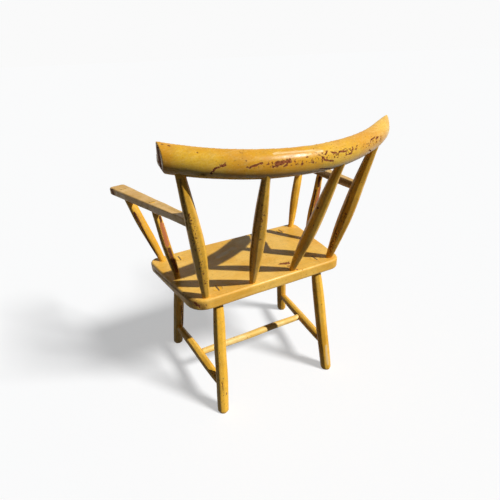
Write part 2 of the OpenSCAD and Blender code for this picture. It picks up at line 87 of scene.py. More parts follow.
# Paint and wood, as sRGB values, each with the other tone that it is mixed with
OCHRE, OCHRE_DEEP = (249, 191, 62), (216, 156, 36)
SEAT_OCHRE, SEAT_OCHRE_DEEP = (238, 188, 82), (224, 166, 58)
CREST_OCHRE, CREST_OCHRE_DEEP = (233, 185, 52), (214, 150, 34)
# The cross stretcher's paler paint is partly a painted highlight
CROSS_OCHRE, CROSS_OCHRE_DEEP = (250, 214, 140), (236, 190, 96)
ARM_OCHRE, ARM_OCHRE_DEEP = (221, 175, 96), (206, 156, 78)
PRIMER, PRIMER_DEEP = (148, 84, 46), (98, 48, 20)
BARE_WOOD, BARE_WOOD_DEEP = (200, 124, 78), (176, 102, 58)
# Dark wood, which at some of the dark marks is painted shade
DARK_WOOD_AND_SHADE, DARK_WOOD_AND_SHADE_PALE = (82, 46, 30), (122, 74, 40)
WEDGE_WOOD, WEDGE_WOOD_DEEP = (100, 62, 36), (56, 34, 22)

# What lies over or shows in the paint, as sRGB values
OCHRE_DULL = (176, 138, 62)
PALE_PAINT = (242, 202, 120)
# Rubbed paint, which along the crest rail's top is a painted highlight
RUBBED_PAINT_AND_HIGHLIGHT = (252, 226, 176)
# Painted light: a bright ochre that lifts the crest rail's lower front
PAINTED_LIGHT_OCHRE = (255, 206, 70)
GRIME = (88, 64, 30)
# Paint darkened by grime, and also painted shade at the marked sides turned from the key
SOILED_AND_SHADED_PAINT = (118, 84, 32)
CRACK = (96, 58, 30)

# Noises of the paint and the wood: scale, detail and roughness
NOISES = {
    "patches": (9.0, 3.0, 0.5),
    "rare": (14.0, 2.0, 0.5),
    "worn": (26.0, 3.0, 0.55),
    "opened": (40.0, 1.0, 0.5),
    "blotches": (55.0, 4.0, 0.6),
    "cover": (90.0, 2.0, 0.5),
    "loose": (95.0, 5.0, 0.62),
    "broad_streaks": (120.0, 3.0, 0.6),
    "coarse": (130.0, 3.0, 0.6),
    "lumps": (140.0, 3.0, 0.5),
    "flecks": (175.0, 2.0, 0.6),
    "specks": (190.0, 1.0, 0.4),
    "mottle": (260.0, 4.0, 0.7),
    "grit": (260.0, 2.0, 0.5),
    "primer": (300.0, 2.0, 0.5),
    "wedge_lines": (300.0, 4.0, 0.6),
    "streaks": (420.0, 4.0, 0.65),
    "fine": (480.0, 3.0, 0.65),
    "hairs": (1100.0, 2.0, 0.6),
}
# How the noises are drawn out along the brush strokes and along a wedge
BRUSH_STRETCH = (1.0, 1.0, 0.06)
WEDGE_STRETCH = (1.0, 0.2, 1.0)
PAINT_RELIEF = 0.32 * MM
WEDGE_RELIEF = 0.3 * MM
# Distances from a crack's line at which it ends and at which it is deepest
CRACK_EDGE = 1.6 * MM
CRACK_CORE = 0.5 * MM

# Shape of the shaved sticks: rings of points, closer together near the ends
SEGMENTS = 56
RING_STEP = 5 * MM
END_STEP = 1.5 * MM
END_ZONE = 12 * MM
LEAST_RINGS = 8
# Over what length the measured radius is smoothed: at most, and as shares of the room to the
# nearer end, where that is short and where it is longer
RADIUS_REACH = 14 * MM
REACH_AT_TIP = 0.25
REACH_INWARD = 0.8
# How sharply the flats meet, how unevenly they are spaced, as a share of one flat, and how far
# each turns along the stick, in radians
FLAT_SHARPNESS = 20
FLAT_JITTER = 0.08
FLAT_SWING = 0.07
LEAST_PULL = 1e-3
# The CAD stick has ten flats and is measured at the ridges between them, which lie farther out
# than its mean. The shaved flats lie at a share of that radius.
CAD_FLATS = 10
CAD_RIDGE = 2 / (1 + math.cos(math.pi / CAD_FLATS))
MEAN_FLAT = 0.99 / CAD_RIDGE
# How far two of the sticks bow to the right in the photograph
BOW = {"outer_post_left": 5.5 * MM, "inner_spindle_right": 1.0 * MM}
# The way one flat of each stick of the back faces, in radians from the chair's back
FACING = {
    "outer_post_left": 0.03,
    "inner_spindle_left": -0.16,
    "inner_spindle_right": -0.34,
    "outer_post_right": -0.34,
}

# How much too long the legs and the arm posts are before they are sawn off
FOOT_EXCESS = 3 * MM
LEG_EXCESS = 6 * MM
ARM_POST_EXCESS = 8 * MM
# How far they stand proud of the seat and the arms, and their wedges too
PROUD = 0.4 * MM
WEDGE_PROUD = PROUD + 0.35 * MM
WEDGE_FACE = 0.3 * MM
# How far below the top of the seat a leg's tenon is measured
TENON_BELOW = 10 * MM

# Shape of the worn planks
SEAT_VOXEL = 2.5 * MM
PLANK_VOXEL = 1.4 * MM
SOFTENINGS = 2
# Wave lengths and heights of their uneven faces. Each stands for some waves about as long.
WAVES_EACH = 5
WAVE_VARIES = (0.7, 1.4)
SEAT_WAVES = ((0.22, 0.35 * MM), (0.05, 0.10 * MM))
CREST_WAVES = ((0.16, 0.4 * MM), (0.04, 0.12 * MM))
ARM_WAVES = ((0.12, 0.35 * MM), (0.035, 0.12 * MM))
# Where a stick's holes in a plank lie, from its tips and round it, and how far from the low and
# the high tip their radius is measured
HOLE_ZONE = 60 * MM
PAST_TIP = 1 * MM
HOLE_SLACK = 0.25 * MM
LOW_HOLE_AT = 8 * MM
HIGH_HOLE_AT = 4 * MM
# What counts as a plank's shoulder round a stick, and how far it moves into the stick
SHOULDER_SLACK = 0.6 * MM
SHOULDER_PULL = 7 * MM
# A face whose normal rises at least this much faces up
UPWARD = 0.95

# Points nearer to each other than this are one
WELD = 1e-6

# Measuring a node: how many slices, the share of its length left out at each end, how exact its
# points are, and how near its ends a radius can be measured
SLICES = 15
END_SHARE = 0.15
MEASURE_ERROR = 0.05 * MM
MEASURE_MARGIN = 0.3 * MM

# Each piece lies at its own place in the noises, within this distance of the middle
GRAIN_SPREAD = 5

SEEDS = {"seat": 11, "crest_rail": 12, "arm_left": 24, "arm_right": 25}
LEG_SEED, STRETCHER_SEED, BACK_SEED, ARM_POST_SEED = 31, 41, 51, 61

# Marks seen in the photograph: two ends as pixels, and the half width in millimetres
MARKS = {
    "chip": {
        "CrestRail": [
            ((211, 173), (216, 168), 2.7), ((216, 168), (225, 164.5), 3.3),
            ((247, 167), (250, 168), 1.8), ((251, 167), (262, 163), 2.2),
            ((273, 167), (280, 164), 2.4), ((277, 164), (289, 161), 4.8),
            ((284, 166), (287, 165), 2.1), ((291, 162), (291.5, 162), 1.6),
            ((302, 164), (302.5, 164), 2.4), ((312.5, 162), (313.5, 162), 2.9),
            ((307, 157), (307.5, 157), 1.9), ((322, 157), (325, 160), 2.2),
            ((325, 155), (327, 151), 1.7), ((325, 160), (333, 161), 1.9),
            ((331, 152), (337, 153), 1.7), ((339, 152), (346, 151), 2.1),
            ((346, 155), (352, 153), 1.5), ((350, 154), (353, 147), 1.3),
            ((371, 140), (375, 137), 1.8), ((376, 139), (378, 137), 2.6),
            ((380, 140), (381, 136), 1.6), ((320, 169), (330, 168), 1.6),
            ((161, 144), (163, 144.5), 1.3), ((168, 145.5), (170, 146), 1.3),
            ((197, 152.5), (197.5, 153), 1.4), ((246, 160.5), (246.5, 161), 1.4),
            ((369, 150), (371, 151), 1.8),
        ],
        "ChairBottom": [
            ((281, 264), (288, 263), 6.2), ((288, 266), (293, 266), 3.2),
            ((295, 269), (297, 269.5), 3.0), ((195, 303), (200, 307), 3.4),
            ((206, 305), (206.5, 305.5), 2.0),
        ],
        "OuterPostRight": [((366.5, 158.9), (366.7, 159.1), 2.6)],
        "InnerSpindleRight": [((317.5, 208), (317.7, 208.5), 2.2)],
        "InnerSpindleLeft": [((263, 214), (265, 216), 1.8)],
        "ArmLeft": [((147.2, 208), (147.6, 208.6), 2.4)],
        "LegBackLeft": [
            ((223.4, 378), (223.7, 379), 1.6), ((226.4, 393), (226.7, 394), 1.8),
            ((222.5, 383), (223, 390), 0.9), ((219, 352), (219.5, 354), 1.0),
        ],
        "LegFrontLeft": [((181, 306), (183, 324), 1.9)],
    },
    "bare": {
        "ArmPostMiddleLeft": [((162, 224), (167.5, 245), 6.0)],
        "ArmPostMiddleRight": [((320, 188), (315, 207), 5.0)],
    },
    # Dark wood, and painted shade on the crest rail's left end face, the left arm's front end and
    # the right middle arm post's left side
    "dark": {
        "CrestRail": [((158, 150), (161, 168), 8.0)],
        "ArmLeft": [((112, 190), (114, 195), 8.0)],
        "ArmPostMiddleLeft": [((160, 217), (161.5, 221), 4.5), ((169, 249), (177, 271), 4.5)],
        "ArmPostFrontLeft": [((134, 213), (140, 224), 4.0), ((140, 224), (157, 256), 3.0)],
        "ArmPostMiddleRight": [((320, 177), (319, 186), 5.0), ((316, 190), (308, 226), 2.5)],
    },
    # Grime, and painted shade on sides turned from the key: the left sides of the back's sticks,
    # the right arm's inner side in the crest rail's shadow and the crest rail's lower left
    "soil": {
        "CrestRail": [((158, 162), (205, 175), 6.0)],
        "ChairBottom": [((190, 298), (203, 308), 12.0), ((155, 271), (188, 299), 7.0)],
        "ArmPostMiddleLeft": [((168, 250), (178, 280), 12.0)],
        "ArmRight": [((316, 173), (331, 178), 9.0), ((340, 180), (353, 184.5), 9.0)],
        "OuterPostLeft": [
            ((180.5, 180), (187.5, 230), 4.0), ((187.5, 230), (197.5, 280), 3.0),
        ],
        "InnerSpindleLeft": [((262, 182), (253, 236), 7.0), ((253, 236), (250, 270), 7.0)],
        "InnerSpindleRight": [
            ((334, 172), (311.5, 208), 4.5), ((311.5, 208), (293, 262), 4.5),
        ],
        "OuterPostRight": [((364, 158), (344.5, 208), 5.0), ((344.5, 208), (329.5, 248), 4.0)],
    },
    "fleck": {
        "CrestRail": [
            ((266, 165), (320, 160), 4.5), ((320, 158), (353, 151), 7.0),
            ((353, 149), (382, 139), 5.0),
        ],
        "LegBackLeft": [((222, 380), (224, 396), 3.0)],
        "LegFrontLeft": [((182, 305), (183, 325), 4.0)],
        "OuterPostRight": [((345, 215), (330, 250), 6.0)],
        "InnerSpindleLeft": [((263, 205), (260, 240), 3.0)],
        "OuterPostLeft": [((190, 215), (206, 285), 5.0)],
    },
    "pale": {
        "ChairBottom": [((218, 257), (233, 248), 10.0)],
        # Painted highlight along the crest rail's top
        "CrestRail": [((274, 153.5), (322, 150.5), 3.2)],
        "LegBackRight": [((326, 346), (328, 364), 5.0)],
    },
    # Painted light on the crest rail's lower front, where it faces down and away from the key
    "fresh": {"CrestRail": [((195, 170), (350, 166), 18.0)]},
}
# A mark fades out where the surface turns away from the side that it is seen on. These are the
# cosines of that turn at which it is gone and at which it is whole.
TURNED_AWAY, TURNED_TOWARD = 0.2, 0.6


# Meshes


def arrays(mesh):
    """Corner points and triangles of a mesh."""
    mesh.calc_loop_triangles()
    co = np.empty(len(mesh.vertices) * 3, np.float32)
    mesh.vertices.foreach_get("co", co)
    tri = np.empty(len(mesh.loop_triangles) * 3, np.int32)
    mesh.loop_triangles.foreach_get("vertices", tri)
    return co.reshape(-1, 3).astype(float), tri.reshape(-1, 3)


def corner_normals(mesh):
    """The surface's normal at each corner point of a mesh."""
    normal = np.empty(len(mesh.vertices) * 3, np.float32)
    mesh.vertex_normals.foreach_get("vector", normal)
    return normal.reshape(-1, 3)


def triangle_normals(co, tri):
    """Normal of each triangle, as long as twice its area."""
    corner = co[tri]
    return np.cross(corner[:, 1] - corner[:, 0], corner[:, 2] - corner[:, 0])


def mesh_from(build, name):
    """Turns a bmesh into a mesh."""
    mesh = bpy.data.meshes.new(name)
    build.to_mesh(mesh)
    build.free()
    return mesh


def new_object(name, data):
    """Puts a mesh, a lamp or a camera in the scene."""
    obj = bpy.data.objects.new(name, data)
    bpy.context.scene.collection.objects.link(obj)
    return obj


def smooth_shading(mesh):
    """Shades every face of a mesh smoothly."""
    mesh.polygons.foreach_set("use_smooth", np.ones(len(mesh.polygons), bool))


def store(mesh, name, values):
    """Writes a number or a vector for each corner point, for the material to read."""
    kind = "FLOAT_VECTOR" if values.ndim == 2 else "FLOAT"
    attribute = mesh.attributes.new(name, kind, "POINT")
    field = "vector" if values.ndim == 2 else "value"
    attribute.data.foreach_set(field, values.astype(np.float32).ravel())


def store_grain(mesh, origin, ways, draw):
    """Writes where each corner point lies across and along the wood's grain."""
    rest = arrays(mesh)[0] - origin
    grain = np.stack([rest @ way for way in ways], 1)
    store(mesh, "grain", grain + draw.uniform(-GRAIN_SPREAD, GRAIN_SPREAD, 3))


def piece_name(node):
    """Name of the visible piece that stands for a CAD node, such as LegBackLeft."""
    return node.title().replace("_", "")


def finish_piece(name, mesh, material, node):
    """Puts a mesh in the scene as the visible piece that stands for a CAD node."""
    mesh.materials.clear()
    mesh.materials.append(material)
    piece = new_object(name, mesh)
    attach(piece, "root")
    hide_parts(node)
    pieces.append(piece)


# Measuring the CAD sticks


def across(axis):
    """Two unit vectors square to an axis, the first as level as it can be."""
    first = np.cross((0.0, 0.0, 1.0), axis)
    if np.linalg.norm(first) < 1e-3:
        first = np.array((1.0, 0.0, 0.0))
    first = first / np.linalg.norm(first)
    return first, np.cross(axis, first)


def slice_points(co, tri, origin, axis, at):
    """Points where the edges of a mesh cross the plane square to an axis."""
    height = (co - origin) @ axis - at
    found = []
    for a, b in ((0, 1), (1, 2), (2, 0)):
        i, j = tri[:, a], tri[:, b]
        crossed = (height[i] > 0) != (height[j] > 0)
        share = height[i][crossed] / (height[i][crossed] - height[j][crossed])
        found.append(co[i[crossed]] + (co[j[crossed]] - co[i[crossed]]) * share[:, None])
    return np.concatenate(found)


def circle_centre(points, first, second):
    """Middle of the round outline that most of the points lie on. Each fit leaves out the points
    that the last one put far off."""
    x, y = points @ first, points @ second
    keep = np.ones(len(x), bool)
    for _ in range(5):
        a = np.stack([2 * x[keep], 2 * y[keep], np.ones(keep.sum())], 1)
        cx, cy, c = np.linalg.lstsq(a, x[keep] ** 2 + y[keep] ** 2, rcond=None)[0]
        error = np.abs(np.hypot(x - cx, y - cy) - math.sqrt(max(c + cx * cx + cy * cy, 0)))
        keep = error <= max(2.5 * np.median(error), MEASURE_ERROR)
    return cx, cy


class Stick:
    """Middle line and radius of a round CAD node, measured from its mesh."""

    def __init__(self, node):
        self.co, self.tri = arrays(nodes[node].data)
        area = np.linalg.norm(triangle_normals(self.co, self.tri), axis=1)
        centre = self.co[self.tri].mean(1)
        origin = np.average(centre, axis=0, weights=area)
        spread = np.cov((centre - origin).T, aweights=area)
        axis = np.linalg.eigh(spread)[1][:, -1]
        # A steep stick runs up, and a level one toward the positive end of its main direction
        if axis[2] < 0 or (abs(axis[2]) < 0.5 and axis[np.argmax(np.abs(axis))] < 0):
            axis = -axis
        for _ in range(3):
            origin, axis = self.refine(origin, axis)
        self.origin, self.axis = origin, axis
        along = (self.co - origin) @ axis
        self.low, self.high = along.min(), along.max()
        self.first, self.second = across(axis)

    def refine(self, origin, axis):
        """A better middle line, through the centres of slices away from the ends. Each fit leaves
        out the centres that the last one put far off."""
        first, second = across(axis)
        along = (self.co - origin) @ axis
        margin = END_SHARE * (along.max() - along.min())
        base = origin - first * (origin @ first) - second * (origin @ second)
        centres = []
        for at in np.linspace(along.min() + margin, along.max() - margin, SLICES):
            points = slice_points(self.co, self.tri, origin, axis, at)
            x, y = circle_centre(points, first, second)
            centres.append(base + axis * at + first * x + second * y)
        centres = np.array(centres)
        keep = np.ones(len(centres), bool)
        for _ in range(4):
            middle = centres[keep].mean(0)
            direction = np.linalg.svd(centres[keep] - middle)[2][0]
            rest = centres - middle
            off = np.linalg.norm(rest - np.outer(rest @ direction, direction), axis=1)
            keep = off <= max(2 * np.median(off), MEASURE_ERROR)
        return middle, direction if direction @ axis > 0 else -direction

    def point(self, at):
        """The point of the middle line at a distance along it."""
        return self.origin + self.axis * at

    def at_height(self, z):
        """Distance along the middle line at which it reaches a height."""
        return (z - self.origin[2]) / self.axis[2]

    def distance(self, points):
        """How far points lie from the middle line."""
        rest = points - self.origin
        return np.linalg.norm(rest - np.outer(rest @ self.axis, self.axis), axis=1)

    def radius(self, at):
        """Outer radius at a distance along the middle line."""
        at = min(max(at, self.low + MEASURE_MARGIN), self.high - MEASURE_MARGIN)
        return self.distance(slice_points(self.co, self.tri, self.origin, self.axis, at)).max()


# Shaved sticks


class Shaving(NamedTuple):
    """How a stick was shaved."""

    flats: int = 8
    # Turn of the first flat from the chair's back, in radians
    facing: float = 0.0
    # How uneven each flat is, as a share of the radius
    depth: float = 0.012
    # How far the middle line wanders and bows
    wander: float = 0.7 * MM
    bow: tuple = (0.0, 0.0, 0.0)
    # Over what length the flats run out into a round at the low and the high end
    fades: tuple = (22 * MM, 22 * MM)


def waves(draw, count, slowest, fastest):
    """A smooth random wave over 0 to 1, about as high as 1."""
    speed = draw.uniform(slowest, fastest, count)
    start = draw.uniform(0, 2 * math.pi, count)
    return lambda share: np.sin(2 * math.pi * speed * share + start).sum() / math.sqrt(count)


def smooth_radii(stick, stations):
    """Radii at the stations, each the mean over a reach that shrinks toward the ends."""
    radii = np.array([stick.radius(at) for at in stations])
    for at in stations:
        room = min(at - stations[0], stations[-1] - at)
        reach = min(RADIUS_REACH, max(REACH_AT_TIP * room, REACH_INWARD * room - END_ZONE))
        yield radii[np.abs(stations - at) <= reach + 1e-9].mean()


def shaved_rings(stick, stations, shaving, draw):
    """Rings of points round a stick that is shaved in uneven flats."""
    low, high = stations[0], stations[-1]
    fade_low, fade_high = shaving.fades
    angles = np.linspace(0, 2 * math.pi, SEGMENTS, endpoint=False)
    outward = np.cos(angles)[:, None] * stick.first + np.sin(angles)[:, None] * stick.second
    first_flat = math.atan2(stick.second[1], stick.first[1]) + shaving.facing
    place = np.arange(shaving.flats) + draw.uniform(-FLAT_JITTER, FLAT_JITTER, shaving.flats)
    turned = first_flat + place * 2 * math.pi / shaving.flats
    heights = [waves(draw, count=3, slowest=0.3, fastest=2.6) for _ in range(shaving.flats)]
    swings = [waves(draw, count=2, slowest=0.2, fastest=1.1) for _ in range(shaving.flats)]
    drift_x, drift_y = (waves(draw, count=3, slowest=0.4, fastest=2.0) for _ in range(2))
    rings = []
    for at, radius in zip(stations, smooth_radii(stick, stations)):
        share = (at - low) / (high - low)
        flat_angle = turned + [FLAT_SWING * swing(share) for swing in swings]
        apothem = np.array([MEAN_FLAT * (1 + shaving.depth * h(share)) for h in heights])
        # A high power of each flat's pull gives an outline that follows the nearest flat
        facing = np.cos(angles[:, None] - flat_angle[None, :])
        pull = np.clip(facing / apothem, LEAST_PULL, None)
        shaved = (pull**FLAT_SHARPNESS).sum(1) ** (-1 / FLAT_SHARPNESS)
        fade = min(1.0, max(0.0, (at - low) / fade_low), max(0.0, (high - at) / fade_high))
        out = radius * ((1 - fade) + fade * shaved)
        inside = math.sin(math.pi * share)
        drift = drift_x(share) * stick.first + drift_y(share) * stick.second
        centre = stick.point(at) + inside * shaving.wander * drift + np.array(shaving.bow) * inside
        rings.append(centre + out[:, None] * outward)
    return np.array(rings)


def stick_stations(low, high):
    """Distances along a stick, closer together near its two ends."""
    count = max(LEAST_RINGS, round((high - low - 2 * END_ZONE) / RING_STEP))
    near = np.arange(0, END_ZONE, END_STEP)
    middle = np.linspace(low + END_ZONE, high - END_ZONE, count)
    return np.concatenate([low + near, middle, high - near[::-1]])


def loft(rings):
    """A closed solid over rings of points, with a flat face at each end."""
    count, around, _ = rings.shape
    build = bmesh.new()
    points = [build.verts.new(p) for p in rings.reshape(-1, 3)]
    for start in range(0, (count - 1) * around, around):
        for k in range(around):
            a, b = start + k, start + (k + 1) % around
            build.faces.new([points[i] for i in (a, b, b + around, a + around)])
    build.faces.new(points[around - 1::-1])
    build.faces.new(points[-around:])
    return build


def cut(build, place, normal):
    """Saws off what lies beyond a plane and closes the end."""
    geometry = build.verts[:] + build.edges[:] + build.faces[:]
    done = bmesh.ops.bisect_plane(
        build, geom=geometry, plane_co=place, plane_no=normal, clear_outer=True, dist=WELD
    )
    edges = [e for e in done["geom_cut"] if isinstance(e, bmesh.types.BMEdge)]
    bmesh.ops.holes_fill(build, edges=edges, sides=0)


def stick_piece(node, material, shaving, seed, low=0.0, high=0.0, cuts=()):
    """Makes a shaved stick that stands for a CAD node. low and high lengthen it at its ends, and
    cuts are the planes that it is sawn off at, as places and normals."""
    stick = sticks[node]
    draw = np.random.default_rng(seed)
    stations = stick_stations(stick.low - low, stick.high + high)
    build = loft(shaved_rings(stick, stations, shaving, draw))
    for place, normal in cuts:
        cut(build, place, normal)
    bmesh.ops.recalc_face_normals(build, faces=build.faces[:])
    name = piece_name(node)
    mesh = mesh_from(build, name)
    smooth_shading(mesh)
    for polygon in mesh.polygons:
        at_end = len(polygon.vertices) > 4
        if at_end:
            polygon.use_smooth = False
    store_grain(mesh, stick.origin, (stick.first, stick.second, stick.axis), draw)
    finish_piece(name, mesh, material, node)


# Worn planks


def remove_holes(build, stick):
    """Takes the walls of a stick's holes out of a solid, which leaves openings to be filled."""
    co = np.array([v.co for v in build.verts])
    along = (co - stick.origin) @ stick.axis
    away = stick.distance(co)
    for at, start, end in (
        (stick.low + LOW_HOLE_AT, stick.low - PAST_TIP, stick.low + HOLE_ZONE),
        (stick.high - HIGH_HOLE_AT, stick.high - HOLE_ZONE, stick.high + PAST_TIP),
    ):
        in_zone = (along > start) & (along < end)
        wall = set(np.nonzero(in_zone & (away < stick.radius(at) + HOLE_SLACK))[0].tolist())
        gone = [f for f in build.faces if all(v.index in wall for v in f.verts)]
        if gone:
            bmesh.ops.delete(build, geom=gone, context="FACES_ONLY")


def pull_shoulder(build, stick):
    """Moves a solid's shoulder into the stick that it meets, so that the joint stays closed when
    the solid is worn."""
    for v in build.verts:
        point = np.array(v.co)[None]
        at = ((point - stick.origin) @ stick.axis)[0]
        if stick.distance(point)[0] < stick.radius(at) + SHOULDER_SLACK:
            toward = Vector(stick.point(at)) - v.co
            v.co += toward.normalized() * min(SHOULDER_PULL, toward.length)


def solid_copy(node, entering, met):
    """The CAD node's mesh as a new mesh, with the holes of the sticks that enter it closed and
    its shoulder reaching into the stick that it meets, if any."""
    build = bmesh.new()
    build.from_mesh(nodes[node].data)
    bmesh.ops.remove_doubles(build, verts=build.verts[:], dist=WELD)
    build.verts.ensure_lookup_table()
    for name in entering:
        remove_holes(build, sticks[name])
    edges = [e for e in build.edges if e.is_boundary]
    bmesh.ops.holes_fill(build, edges=edges, sides=0)
    loose = [v for v in build.verts if not v.link_faces]
    bmesh.ops.delete(build, geom=loose, context="VERTS")
    if met:
        pull_shoulder(build, sticks[met])
    bmesh.ops.recalc_face_normals(build, faces=build.faces[:])
    return mesh_from(build, node + "_solid")


def worn_mesh(mesh, voxel):
    """A dense mesh of the same solid with softened edges."""
    rough = new_object("rough", mesh)
    remesh = rough.modifiers.new("dense", "REMESH")
    remesh.mode = "VOXEL"
    remesh.voxel_size = voxel
    soft = rough.modifiers.new("soft", "SMOOTH")
    soft.factor = 0.5
    soft.iterations = SOFTENINGS
    bpy.context.view_layer.update()
    ready = rough.evaluated_get(bpy.context.evaluated_depsgraph_get())
    done = bpy.data.meshes.new_from_object(ready)
    bpy.data.objects.remove(rough)
    return done


def undulate(mesh, draw, sizes, low, high):
    """Moves the surface gently in and out, within low and high. sizes are pairs of wave length
    and height."""
    co, _ = arrays(mesh)
    lift = np.zeros(len(co))
    for length, height in sizes:
        for _ in range(WAVES_EACH):
            way = draw.normal(size=3)
            way *= 2 * math.pi / length / np.linalg.norm(way) * draw.uniform(*WAVE_VARIES)
            wave = np.sin(co @ way + draw.uniform(0, 2 * math.pi))
            lift += wave * height / math.sqrt(WAVES_EACH)
    co = np.clip(co + corner_normals(mesh) * lift[:, None], np.array(low), np.array(high))
    mesh.vertices.foreach_set("co", co.astype(np.float32).ravel())
    mesh.update()


def plank_piece(name, node, material, entering, along, voxel, sizes, met=None):
    """Makes a worn plank that stands for a CAD node. entering are the sticks with a hole in it,
    along is the way its grain runs, and met is the stick that its shoulder fits round."""
    draw = np.random.default_rng(SEEDS[node])
    mesh = worn_mesh(solid_copy(node, entering, met), voxel)
    mesh.name = name
    undulate(mesh, draw, sizes, *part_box(node))
    smooth_shading(mesh)
    axis = np.array(along, float)
    axis /= np.linalg.norm(axis)
    store_grain(mesh, np.zeros(3), (*across(axis), axis), draw)
    finish_piece(name, mesh, material, node)


def arm_top(node):
    """Middle and upward normal of an arm's upper face."""
    co, tri = arrays(nodes[node].data)
    normal = triangle_normals(co, tri)
    area = np.linalg.norm(normal, axis=1)
    normal = normal / np.maximum(area, 1e-12)[:, None]
    upward = normal[:, 2] > UPWARD
    up = np.average(normal[upward], axis=0, weights=area[upward])
    up = up / np.linalg.norm(up)
    middle = co.mean(0)
    return middle + up * ((co @ up).max() - middle @ up), up


def wedge_piece(node, material, planes):
    """Makes wedge ends that stand a little proud of the faces that they come up through, which
    are given as places and normals."""
    name = piece_name(node)
    mesh = nodes[node].data.copy()
    mesh.name = name
    for vertex in mesh.vertices:
        for place, up in planes:
            if abs((vertex.co - Vector(place)).dot(Vector(up))) < WEDGE_FACE:
                vertex.co += Vector(up) * WEDGE_PROUD
                break
    finish_piece(name, mesh, material, node)


# Materials


def linear(colour):
    """An sRGB colour of 0 to 255 as the linear colour that a shader takes."""
    shares = [c / 255 for c in colour]
    channels = (s / 12.92 if s <= 0.04045 else ((s + 0.055) / 1.055) ** 2.4 for s in shares)
    return (*channels, 1.0)


class Shader:
    """A short way to write the nodes of a material or a world."""

    def __init__(self, owner):
        self.owner = owner
        owner.use_nodes = True
        self.tree = owner.node_tree
        self.tree.nodes.clear()

    def add(self, kind, inputs=None, **settings):
        node = self.tree.nodes.new(kind)
        for key, value in settings.items():
            setattr(node, key, value)
        for key, value in (inputs or {}).items():
            self.put(node.inputs[key], value)
        return node

    def put(self, socket, value):
        """Links or sets a socket. A colour of three values is taken as sRGB."""
        if isinstance(value, bpy.types.NodeSocket):
            self.tree.links.new(value, socket)
        elif isinstance(value, tuple) and socket.type == "RGBA" and len(value) == 3:
            socket.default_value = linear(value)
        else:
            socket.default_value = value

    def attribute(self, name, output="Fac"):
        return self.add("ShaderNodeAttribute", attribute_name=name).outputs[output]

    def maths(self, operation, a, b=0.0):
        return self.add("ShaderNodeMath", {0: a, 1: b}, operation=operation).outputs[0]

    def plus(self, a, b):
        return self.maths("ADD", a, b)

    def minus(self, a, b):
        return self.maths("SUBTRACT", a, b)

    def times(self, a, b):
        return self.maths("MULTIPLY", a, b)

    def larger(self, a, b):
        return self.maths("MAXIMUM", a, b)

    def between(self, value, low, high, out_low=0.0, out_high=1.0):
        """value moved from low to high onto out_low to out_high, softly and within them."""
        inputs = {
            "Value": value,
            "From Min": low,
            "From Max": high,
            "To Min": out_low,
            "To Max": out_high,
        }
        node = self.add("ShaderNodeMapRange", inputs, interpolation_type="SMOOTHSTEP")
        return node.outputs["Result"]

    def stretched(self, vector, scale):
        inputs = {0: vector, 1: scale}
        return self.add("ShaderNodeVectorMath", inputs, operation="MULTIPLY").outputs[0]

    def noise(self, vector, kind):
        scale, detail, rough = NOISES[kind]
        inputs = {"Vector": vector, "Scale": scale, "Detail": detail, "Roughness": rough}
        return self.add("ShaderNodeTexNoise", inputs).outputs["Fac"]

    def mix(self, share, a, b):
        """The colour a with a share of the colour b."""
        inputs = {0: share, 6: a, 7: b}
        return self.add("ShaderNodeMix", data_type="RGBA", inputs=inputs).outputs[2]

    def cover(self, colour, over, field, start, full, most=1.0):
        """colour with another over it, from start to full of a field and up to a share of most."""
        return self.mix(self.between(field, start, full, 0.0, most), colour, over)

    def seen_by_camera(self):
        """1 for what the camera sees, also in a reflection or through glass."""
        path = self.add("ShaderNodeLightPath").outputs
        seen = path["Is Camera Ray"]
        for ray in ("Is Glossy Ray", "Is Transmission Ray"):
            seen = self.larger(seen, path[ray])
        return seen

    def output(self, shader, kind="Material"):
        """Ends the tree with what the surface shows, and gives its material or world."""
        out = self.add("ShaderNodeOutput" + kind)
        self.tree.links.new(shader.outputs[0], out.inputs["Surface"])
        return self.owner

    def surface(self, colour, roughness, height, relief, specular=0.5):
        """Finishes a material whose surface is height times relief high."""
        bump = self.add("ShaderNodeBump", {"Height": height, "Distance": relief, "Strength": 1.0})
        inputs = {"Base Color": colour, "Roughness": roughness, "Normal": bump.outputs["Normal"]}
        shader = self.add("ShaderNodeBsdfPrincipled", inputs)
        shader.inputs["Specular IOR Level"].default_value = specular
        return self.output(shader)


